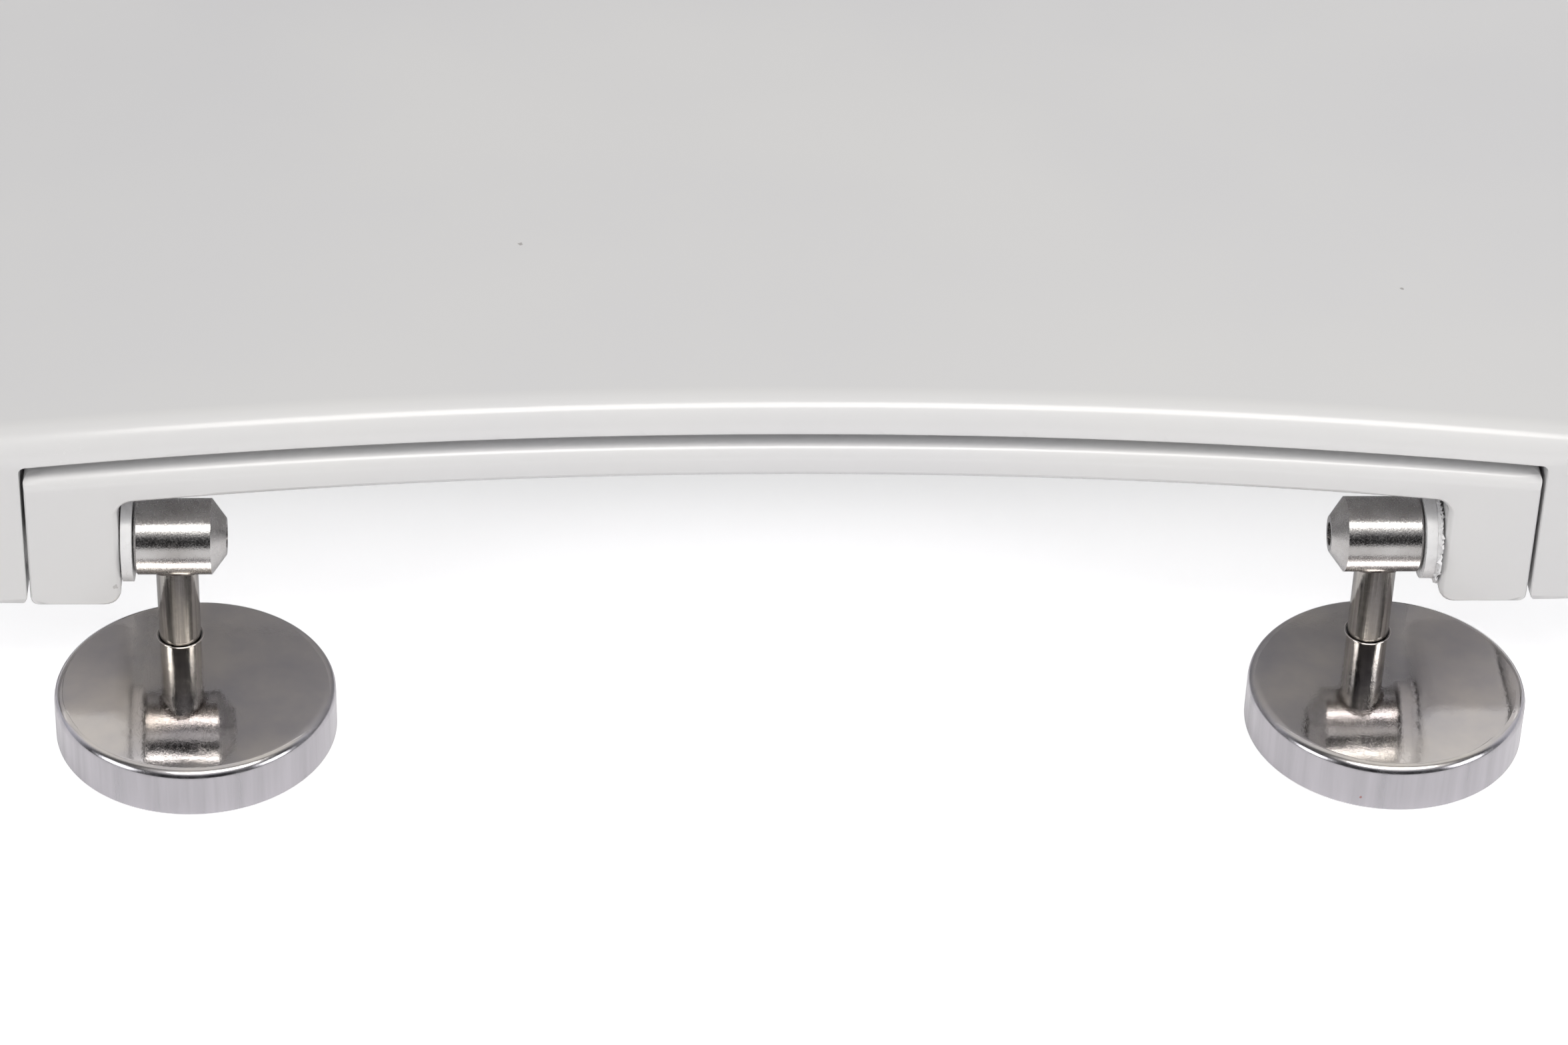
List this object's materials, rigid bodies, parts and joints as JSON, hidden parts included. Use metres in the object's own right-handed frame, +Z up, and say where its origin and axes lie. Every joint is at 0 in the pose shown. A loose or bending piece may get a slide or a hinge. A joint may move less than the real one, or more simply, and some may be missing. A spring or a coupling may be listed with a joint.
{
  "type": "toilet seat",
  "caption": "Toilet seat with a wrap-over lid and a ring on two steel barrel hinges with round eccentric rosettes and dampers.",
  "frame": {"origin": "middle of the closed seat's outer box in plan, on the plane of the pan's top", "axes": "+Z up from the pan, -Y to the open front, +Y to the hinges, +X to the right when seen from the front"},
  "size_m": [0.37, 0.4722, 0.0654],
  "materials": {
    "lid_white": "glossy moulded white, faint fine scratches by the rear edge",
    "ring_white": "glossy moulded white, a small pit in one ear",
    "damper_white": "satin white moulded plastic",
    "bush_white": "plain white bearing plastic",
    "buffer_soft": "soft pale rubber",
    "cap_steel": "polished stainless with fine fibrous scratches, brushed side wall",
    "barrel_steel": "bead-blasted stainless",
    "post_steel": "smooth drawn stainless",
    "pin_steel": "ground steel",
    "screw_steel": "dull machine-screw steel",
    "plate_metal": "plain die-cast metal",
    "gasket_rubber": "black rubber"
  },
  "bodies": {
    "hinges": {"hinge_cap_left": "cap_steel", "hinge_cap_right": "cap_steel", "base_plate_left": "plate_metal", "base_plate_right": "plate_metal", "gasket_left": "gasket_rubber", "gasket_right": "gasket_rubber", "hinge_post_left": "post_steel", "hinge_post_right": "post_steel", "hinge_barrel_left": "barrel_steel", "hinge_barrel_right": "barrel_steel", "hinge_pin_left": "pin_steel", "hinge_pin_right": "pin_steel", "pin_screw_left": "screw_steel", "pin_screw_right": "screw_steel"},
    "ring": {"seat_ring": "ring_white", "ring_damper": "damper_white", "ring_bush": "bush_white", "lid_pin": "pin_steel", "ring_buffer_rear_left": "buffer_soft", "ring_buffer_rear_right": "buffer_soft", "ring_buffer_front_left": "buffer_soft", "ring_buffer_front_right": "buffer_soft"},
    "lid": {"lid": "lid_white", "lid_damper": "damper_white", "lid_bush": "bush_white", "lid_buffer_rear_left": "buffer_soft", "lid_buffer_rear_right": "buffer_soft", "lid_buffer_front_left": "buffer_soft", "lid_buffer_front_right": "buffer_soft"}
  },
  "joints": [
    {"name": "ring_hinge", "type": "hinge", "parent": "hinges", "child": "ring", "pos_m": [0, 0.19619, 0.0314], "axis": [-1, 0, 0], "range_deg": [0, 28]},
    {"name": "lid_hinge", "type": "hinge", "parent": "ring", "child": "lid", "pos_m": [0, 0.19619, 0.0314], "axis": [-1, 0, 0], "range_deg": [0, 95]}
  ]
}
